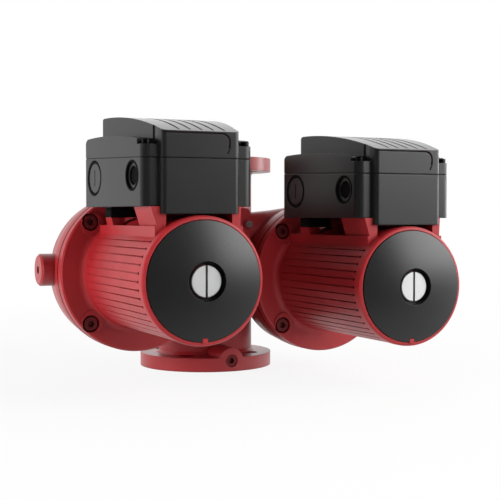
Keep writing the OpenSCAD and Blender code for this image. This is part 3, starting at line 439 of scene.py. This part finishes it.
for side in SIDES:
    pockets = bmesh.new()
    for i in range(round(360 / GROOVE_STEP)):
        turn = i * GROOVE_STEP
        if LEDGE_FROM < turn < LEDGE_TO:
            continue
        # Each dark plug is painted shade in its pocket.
        outwards = (Matrix.Rotation(-radians(turn), 4, "Y")
                    @ Matrix.Translation((POCKET_MIDDLE, POCKET_Y, 0)) @ ALONG_X)
        bmesh.ops.create_cone(pockets, cap_ends=True, segments=20, radius1=POCKET_R,
                              radius2=POCKET_R, depth=POCKET_DEPTH, matrix=outwards)
    new_piece("groove_pocket_shades_" + side, pockets, shadow_gap, "housing", head_frame(side))
print("pockets at y", POCKET_Y, "mm")

# %% [markdown]
# ### Where the cable entries sit
# Each terminal box has a large entry and a small one on its left side face. That face
# leans outwards a little towards the back, so both entries lean with it. One matrix
# takes a ring that is drawn flat round Z and sets it on the face.

# %% The box's left face
WING_FRONT, WING_BACK = 13.0, 138.0
WING_HALF, WING_SPREAD = 50.5, 10.5
ENTRY_Z = 88.6
WING_LEAN = atan2(WING_SPREAD, WING_BACK - WING_FRONT)


def on_left_wing(side, y):
    """Matrix to a place on the box's left side face, with +Z out of the face."""
    x = -WING_HALF - WING_SPREAD * (y - WING_FRONT) / (WING_BACK - WING_FRONT)
    return (head_frame(side) @ Matrix.Translation((x, y, ENTRY_Z))
            @ Matrix.Rotation(WING_LEAN, 4, "Z") @ Matrix.Rotation(-pi / 2, 4, "Y"))


print("cable entries lean", round(WING_LEAN, 3), "rad")

# %% [markdown]
# ### Soft rims and edges
# A mould never fills a sharp corner, so a rubber ring has soft rims and a block has
# rounded edges. Two helpers draw them, with the softness in millimetres.

# %% Rings and blocks


def ring_section(outer, inner, low, high, edge=0.3):
    """Section of a flat ring with soft upper rims, from height low to high."""
    return [(inner, low), (outer, low), (outer, high - edge), (outer - edge, high),
            (inner + edge, high), (inner, high - edge)]


def block(low, high, soft=1.5):
    """Box between two corners, with its edges rounded by soft millimetres."""
    mesh = bmesh.new()
    bmesh.ops.create_cube(mesh, size=1)
    for vert in mesh.verts:
        vert.co = [lo + (c + 0.5) * (hi - lo) for c, lo, hi in zip(vert.co, low, high)]
    bmesh.ops.bevel(mesh, geom=mesh.edges[:], offset=soft, segments=3, profile=0.5,
                    affect="EDGES")
    return mesh


print("a ring's section has", len(ring_section(2, 1, 0, 1)), "corners")

# %% [markdown]
# ### The large entry
# The large entry is closed by a slotted plug in a black rubber ring. The plug's face
# lies almost flush, and its slot is a thin dark bar of painted shade. In the visual model
# the ring and the plug take the place of the two plainer CAD pieces.

# %% Ring, plug and slot
LARGE_ENTRY_Y, LARGE_ENTRY_R = 117.5, 16.2
RING_IN, PLUG_R, PLUG_CHAMFER = 13.6, 13.5, 0.4
ENTRY_FLOOR, RING_TOP, PLUG_TOP = -4, -0.1, -0.5
SLOT_LOW, SLOT_HIGH, SLOT_SOFT = (-7.2, -0.6, -0.6), (7.2, 0.6, -0.42), 0.06

for side in SIDES:
    place = on_left_wing(side, LARGE_ENTRY_Y)
    ring = new_piece(
        "entry_ring_" + side,
        turned(ring_section(LARGE_ENTRY_R, RING_IN, ENTRY_FLOOR, RING_TOP)),
        seal_rubber, "housing", place)
    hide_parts("plug_gasket_" + side)
    face = turned([(CENTRE, ENTRY_FLOOR), (PLUG_R, ENTRY_FLOOR), (PLUG_R, PLUG_TOP - PLUG_CHAMFER),
                   (PLUG_R - PLUG_CHAMFER, PLUG_TOP), (CENTRE, PLUG_TOP)])
    plug = new_piece("plug_face_" + side, face, box_polyamide, "housing", place)
    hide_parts("blanking_plug_" + side)
    # The slot's dark bar is painted shade.
    slot = block(SLOT_LOW, SLOT_HIGH, soft=SLOT_SOFT)
    new_piece("plug_slot_shade_" + side, slot, shadow_gap, "housing", place)
print("large entries at y", LARGE_ENTRY_Y, "mm")

# %% [markdown]
# ### The small entry
# The small entry is a knock-out whose recess is lined with black rubber. A thin membrane
# closes the hole behind it, as on a grommet that hasn't been cut yet. Both also paint the
# shade that fills the recess and the hole.

# %% Lining and membrane
SMALL_ENTRY_Y, SMALL_ENTRY_R = 35.0, 13.0
LINING_OUT, LINING_IN = SMALL_ENTRY_R + 0.1, SMALL_ENTRY_R - 1.6
LINING_LOW, LINING_TOP = -2.4, -0.15
MEMBRANE_R, MEMBRANE_LOW, MEMBRANE_TOP = 8.1, -4, -3.6

for side in SIDES:
    place = on_left_wing(side, SMALL_ENTRY_Y)
    # The black rubber lining and membrane are also painted shade in the recess and the hole.
    lining = turned(ring_section(LINING_OUT, LINING_IN, LINING_LOW, LINING_TOP))
    new_piece("entry_shade_lining_" + side, lining, seal_rubber, "housing", place)
    membrane = turned([(CENTRE, MEMBRANE_LOW), (MEMBRANE_R, MEMBRANE_LOW),
                       (MEMBRANE_R, MEMBRANE_TOP), (CENTRE, MEMBRANE_TOP)])
    new_piece("entry_shade_membrane_" + side, membrane, seal_rubber, "housing", place)
print("small entries at y", SMALL_ENTRY_Y, "mm")

# %% [markdown]
# ### Grooves over the crown
# Five grooves run over each lid's crown from front to back. The solids have them, 1.2 mm
# wide, but at this distance they drown in the sheen. So a dark strip of painted shade, as
# wide as it needs to show, is laid over each. It follows the crown's arc and thins out at
# both ends.

# %% Crown grooves
CROWN_R, CROWN_Y, CROWN_TOP = 360.0, 118.0, 143.0
GROOVES, GROOVE_PITCH, GROOVE_SHIFT = 5, 10.35, 2
GROOVE_FROM, GROOVE_RUN, GROOVE_STEPS, GROOVE_TAPER = 10.8, 97, 24, 3
GROOVE_THIN, GROOVE_SWELL = 0.8, 1.1
SUNK, PROUD = 0.2, 0.1


def crown_height(y):
    """Height of the crown's arc at y."""
    return CROWN_TOP - CROWN_R + (CROWN_R ** 2 - (y - CROWN_Y) ** 2) ** 0.5


def strip(path, widths):
    """Thin closed strip along a path, as wide in X as widths say."""
    mesh = bmesh.new()
    rows = []
    for (x, y, z), width in zip(path, widths):
        left_x, right_x = x - width / 2, x + width / 2
        corners = [(left_x, z - SUNK), (right_x, z - SUNK),
                   (right_x, z + PROUD), (left_x, z + PROUD)]
        rows.append([mesh.verts.new((across, y, up)) for across, up in corners])
    for near, far in zip(rows, rows[1:]):
        for j in range(4):
            k = (j + 1) % 4
            mesh.faces.new((near[j], near[k], far[k], far[j]))
    mesh.faces.new(rows[0])
    mesh.faces.new(rows[-1][::-1])
    return mesh


steps = range(GROOVE_STEPS + 1)
depths = [GROOVE_FROM + GROOVE_RUN * j / GROOVE_STEPS for j in steps]
widths = [GROOVE_THIN + GROOVE_SWELL * min(1, j / GROOVE_TAPER, (GROOVE_STEPS - j) / GROOVE_TAPER)
          for j in steps]
for side in SIDES:
    for i in range(GROOVES):
        x = GROOVE_SHIFT + (i - GROOVES // 2) * GROOVE_PITCH
        # Each dark strip is painted shade over its groove.
        groove = strip([(x, y, crown_height(y)) for y in depths], widths)
        new_piece("crown_groove_shade_{}_{}".format(i + 1, side), groove, shadow_gap, "lid_" + side,
                  head_frame(side))
print("grooves reach height", round(crown_height(depths[-1]), 1), "mm")

# %% [markdown]
# ### The hooked line
# A line is moulded across the front of each lid and turns down at its right end. The
# solids have it as a fine groove, and a flat dark strip of painted shadow over it makes it
# show. The strip starts as a hairline and swells as it nears the bend. Points along a
# straight, a quarter circle and a short tail give its course, and each point is widened
# across it.

# %% Hooked line
BOX_FRONT, LINE_LIFT = 6.5, 0.08
HOOK_START, HOOK_Z, HOOK_X, HOOK_R = -34, 123.8, 25.8, 7.0
HAIR_HALF, SWELL_HALF, SWELL_FROM, SWELL_RUN = 0.35, 0.5, 9, 6
STRAIGHT_STEPS, BEND_STEPS = 12, 10
TAIL_DROP, TAIL_CURL = 5, 0.6
BEND_X, TAIL_Z = HOOK_X - HOOK_R, HOOK_Z - HOOK_R

straight = [(HOOK_START + (BEND_X - HOOK_START) * j / STRAIGHT_STEPS, HOOK_Z)
            for j in range(STRAIGHT_STEPS)]
bend = [(BEND_X + HOOK_R * sin(a), TAIL_Z + HOOK_R * cos(a))
        for a in [radians(90 * j / BEND_STEPS) for j in range(BEND_STEPS + 1)]]
tail = [(HOOK_X, TAIL_Z - TAIL_DROP / 2), (HOOK_X - TAIL_CURL, TAIL_Z - TAIL_DROP)]
course = straight + bend + tail

for side in SIDES:
    mesh = bmesh.new()
    rows = []
    for j, (x, z) in enumerate(course):
        before, after = course[max(j - 1, 0)], course[min(j + 1, len(course) - 1)]
        along = Vector((after[0] - before[0], 0, after[1] - before[1])).normalized()
        half = HAIR_HALF + SWELL_HALF * min(1, max(0, (j - SWELL_FROM) / SWELL_RUN))
        side_step = Vector((along.z, 0, -along.x)) * half
        centre = Vector((x, BOX_FRONT - LINE_LIFT, z))
        rows.append((mesh.verts.new(centre - side_step), mesh.verts.new(centre + side_step)))
    for near, far in zip(rows, rows[1:]):
        mesh.faces.new((near[0], near[1], far[1], far[0]))
    # The dark strip is painted shadow along the lid's front.
    new_piece("hook_line_shadow_" + side, mesh, shadow_gap, "lid_" + side, head_frame(side))
print("the hooked line has", len(course), "points")

# %% [markdown]
# ### Duct shoulders
# A discharge duct leaves each pot near its top and joins the column in a soft shoulder.
# It is cast with the housing. Here it is a slightly waisted drum that lies along the
# line between the two places where it disappears into the castings.

# %% Duct shoulders
AT_POT, AT_COLUMN = (88, -26, 52.5), (24, -8, 45.5)
SHOULDER_R, WAIST_R, COLUMN_END_R = 21.5, 20.5, 22
WAIST_FROM, WAIST_TO = 0.3, 0.7
OUTWARDS = {"left": -1, "right": 1}


def shoulder_end(side, point):
    """Point in metres: x outwards, y back from the ports' axis, z up from the head's."""
    x, y, z = point
    return Vector((OUTWARDS[side] * x * MM, y * MM, head_axis(side).z + z * MM))


for side in SIDES:
    start, end = shoulder_end(side, AT_POT), shoulder_end(side, AT_COLUMN)
    length = (end - start).length / MM
    shoulder = turned([(CENTRE, 0), (SHOULDER_R, 0), (WAIST_R, length * WAIST_FROM),
                       (WAIST_R, length * WAIST_TO), (COLUMN_END_R, length),
                       (CENTRE, length)], steps=64)
    turn = (end - start).to_track_quat("Z", "Y").to_matrix().to_4x4()
    new_piece("duct_shoulder_" + side, shoulder, housing_enamel, "housing",
              Matrix.Translation(start) @ turn @ TO_METRES)
print("shoulders are", round(length, 1), "mm long")

# %% [markdown]
# ### Side bosses
# The boss at each outer side is a short drum with a small chamfer and a plug sunk in its
# middle. In the solids its end is rounder, so a turned ring with the chamfer is laid
# round it. The ring leaves the plug's hole open.

# %% Side bosses
BOSS_Y, BOSS_Z, BOSS_R = 206.2, 2.0, 15.7
BOSS_START, BOSS_END, BOSS_CHAMFER = 70, 89.45, 2
SOCKET_R = 4.2

for side in SIDES:
    drum = turned([(SOCKET_R, BOSS_START), (BOSS_R, BOSS_START), (BOSS_R, BOSS_END - BOSS_CHAMFER),
                   (BOSS_R - BOSS_CHAMFER, BOSS_END), (SOCKET_R, BOSS_END)])
    place = (head_frame(side) @ Matrix.Translation((0, BOSS_Y, BOSS_Z))
             @ Matrix.Rotation(OUTWARDS[side] * pi / 2, 4, "Y"))
    new_piece("boss_drum_" + side, drum, housing_enamel, "housing", place)
print("bosses end", BOSS_END, "mm from their heads' axes")

# %% [markdown]
# ### Under the box
# The winding wires would rise from the motor to the terminal box through a neck, which
# closes the view to the back between ledge and box. A rubber pad lies on the rear seats.
# Both lie almost wholly in the shade, so plain rounded blocks are enough. The neck's
# darker red and the pad's black are painted shade under the box.

# %% Neck and pad
NECK_LOW, NECK_HIGH = (-18, 56, 42), (34.8, 121, 62.4)
SHADE_PAD_LOW, SHADE_PAD_HIGH = (-42.6, 121.6, 53.2), (42.6, 139.4, 62.45)

for side in SIDES:
    # Painted shade: the neck's darker red and the pad's black darken the space under the box.
    new_piece("box_neck_" + side, block(NECK_LOW, NECK_HIGH), plug_enamel, "housing",
              head_frame(side))
    new_piece("box_shade_pad_" + side, block(SHADE_PAD_LOW, SHADE_PAD_HIGH), seal_rubber, "housing",
              head_frame(side))

# %% [markdown]
# ## Backdrop
# The photograph is a catalogue picture: the pump stands before pure white. Glossy paint
# mirrors that white wherever a surface is seen at a flat angle, which draws the pale rims
# along the edges. Towards the camera the studio is dark, so the fronts keep their deep
# colour. A sky that fades from white to dark towards the camera's side gives both. It is
# fixed to the room and not to the camera, so it holds in every view.

# %% Backdrop
DARK_SIDE = Vector((-0.35, -0.85, 0.4))
SKY_BRIGHT, SKY_DARK = 1.0, 0.05
FADE_FROM, FADE_TO = -0.1, 0.7
SKY_LIGHT = 0.5

world = bpy.data.worlds.new("studio")
bpy.context.scene.world = world
world.use_nodes = True
sky_tree = world.node_tree
sky = sky_tree.nodes["Background"]
sky.inputs["Color"].default_value = linear("ffffff")
towards = add_node(sky_tree, "ShaderNodeTexCoord")
facing = add_node(sky_tree, "ShaderNodeVectorMath", {
    0: towards.outputs["Generated"], 1: DARK_SIDE}, operation="DOT_PRODUCT")
fade = add_node(sky_tree, "ShaderNodeMapRange", {
    "Value": facing.outputs["Value"], "From Min": FADE_FROM, "From Max": FADE_TO,
    "To Min": SKY_BRIGHT, "To Max": SKY_DARK}, interpolation_type="SMOOTHSTEP")
print("sky fades towards", [round(v, 2) for v in DARK_SIDE])

# %% [markdown]
# The light path tells what kind of ray asks. Gloss sees the whole fade, plain light gets
# half of it, so that the lamps shape the pump, and the camera sees pure white.

# %% What each ray sees
ray = add_node(sky_tree, "ShaderNodeLightPath")
dimmed = add_node(sky_tree, "ShaderNodeMapRange", {
    "Value": ray.outputs["Is Glossy Ray"], "To Min": SKY_LIGHT, "To Max": 1.0})
light = add_node(sky_tree, "ShaderNodeMath", {
    0: fade.outputs["Result"], 1: dimmed.outputs["Result"]}, operation="MULTIPLY")
seen = add_node(sky_tree, "ShaderNodeMath", {
    0: light.outputs["Value"], 1: ray.outputs["Is Camera Ray"]}, operation="MAXIMUM")
sky_tree.links.new(seen.outputs["Value"], sky.inputs["Strength"])
print("plain light from the sky:", SKY_LIGHT)

# %% [markdown]
# ## Floor
# The floor is plain and pale. To the camera and in reflections it glows white, which
# hides the horizon. Near the pump part of it stays ordinary paint, so that the pump still
# throws a faint shadow. The share of glow grows with the distance from the pump.

# %% How much of the floor glows
GLOW_NEAR, GLOW_FAR, GLOW_SHARE = 0.25, 0.9, 0.87

floor_material, floor_tree, floor_paint = new_material("pale_floor", Roughness=0.8)
floor_paint.inputs["Base Color"].default_value = linear("ededed")
ground = add_node(floor_tree, "ShaderNodeTexCoord")
away = add_node(floor_tree, "ShaderNodeVectorMath", {
    0: ground.outputs["Object"]}, operation="LENGTH")
share = add_node(floor_tree, "ShaderNodeMapRange", {
    "Value": away.outputs["Value"], "From Min": GLOW_NEAR, "From Max": GLOW_FAR,
    "To Min": GLOW_SHARE, "To Max": 1.0})
ray = add_node(floor_tree, "ShaderNodeLightPath")
by_gloss = add_node(floor_tree, "ShaderNodeMath", {
    0: ray.outputs["Is Camera Ray"], 1: ray.outputs["Is Glossy Ray"]}, operation="MAXIMUM")
by_eye = add_node(floor_tree, "ShaderNodeMath", {
    0: by_gloss.outputs["Value"], 1: ray.outputs["Is Transmission Ray"]}, operation="MAXIMUM")
glow_share = add_node(floor_tree, "ShaderNodeMath", {
    0: share.outputs["Result"], 1: by_eye.outputs["Value"]}, operation="MULTIPLY")
print("glow near the pump:", GLOW_SHARE)

# %% [markdown]
# In reflections the floor in front of the pump darkens as the sky does. Otherwise the
# nameplate discs would mirror a bright strip that the photograph doesn't show.

# %% The floor in reflections
FRONT_FROM, FRONT_TO = 0.1, 0.5

ahead = add_node(floor_tree, "ShaderNodeVectorMath", {
    0: ground.outputs["Object"], 1: DARK_SIDE}, operation="DOT_PRODUCT")
mirrored = add_node(floor_tree, "ShaderNodeMapRange", {
    "Value": ahead.outputs["Value"], "From Min": FRONT_FROM, "From Max": FRONT_TO,
    "To Min": 0.0, "To Max": 1 - SKY_DARK})
lost = add_node(floor_tree, "ShaderNodeMath", {
    0: ray.outputs["Is Glossy Ray"], 1: mirrored.outputs["Result"]}, operation="MULTIPLY")
kept = add_node(floor_tree, "ShaderNodeMath", {
    0: 1.0, 1: lost.outputs["Value"]}, operation="SUBTRACT")
glow = add_node(floor_tree, "ShaderNodeEmission", {
    "Color": linear("ffffff"), "Strength": kept.outputs["Value"]})
blend = add_node(floor_tree, "ShaderNodeMixShader", {
    0: glow_share.outputs["Value"], 1: floor_paint.outputs["BSDF"], 2: glow.outputs["Emission"]})
floor_tree.links.new(
    blend.outputs["Shader"], floor_tree.nodes["Material Output"].inputs["Surface"])
print("mirrored floor fades from", FRONT_FROM, "to", FRONT_TO, "m in front")

# %% [markdown]
# The floor itself is one large square, half a millimetre below the pump's foot flange so
# that the two faces don't fight. It is the stage and no part of the pump.

# %% The floor
FLOOR_SIZE, FLOOR_Z = 30, -0.0005

bpy.ops.mesh.primitive_plane_add(size=FLOOR_SIZE, location=(0, 0, FLOOR_Z))
floor = bpy.context.object
floor.name = "floor"
floor.data.materials.append(floor_material)
print("floor of", FLOOR_SIZE, "m")

# %% [markdown]
# ## Lamps
# The key light is a large soft box at the left, a little behind, so the left faces are
# the brightest and the terminal boxes shade what lies under them. A weak fill in front
# lifts the deepest shade, and a low lamp reaches the foot flange under the motors. These
# three stay out of reflections, because the paint in the photograph shows no hot spot on
# that side. One lamp behind the right side skims over the box crowns, a narrow one at
# the right draws the thin rims, and a broad one at the front right gives the discs their
# sheen.

# %% Lamps
# Each lamp: place, point it aims at, width and height in metres, and power in watts.
LAMPS = {
    "key": ((-1.95, -0.1, 0.35), (-0.1, -0.1, 0.12), (1.0, 0.8), 46),
    "fill": ((-0.2, -2.0, 0.7), (0, -0.2, 0.1), (1.0, 0.6), 11),
    "low": ((0.7, -1.6, 0.14), (0, -0.05, 0.02), (1.0, 0.25), 5),
    "crown": ((1.0, 1.5, 1.15), (0.0, -0.1, 0.2), (1.5, 1.2), 6),
    "rim": ((1.8, -0.05, 0.3), (0.05, -0.15, 0.1), (0.3, 1.2), 14),
    "front": ((1.5, -1.42, 0.95), (0, -0.2, 0.12), (1.7, 1.5), 46),
}
UNMIRRORED = ("key", "fill", "low")

for name, (place, aim, size, power) in LAMPS.items():
    data = bpy.data.lights.new(name, "AREA")
    data.shape = "RECTANGLE"
    data.size, data.size_y = size
    data.energy = power
    lamp = bpy.data.objects.new(name, data)
    lamp.location = place
    lamp.rotation_euler = (Vector(aim) - Vector(place)).to_track_quat("-Z", "Y").to_euler()
    lamp.visible_glossy = name not in UNMIRRORED
    bpy.context.scene.collection.objects.link(lamp)
bpy.context.scene.view_settings.view_transform = "Standard"
print("lamps:", ", ".join(LAMPS))
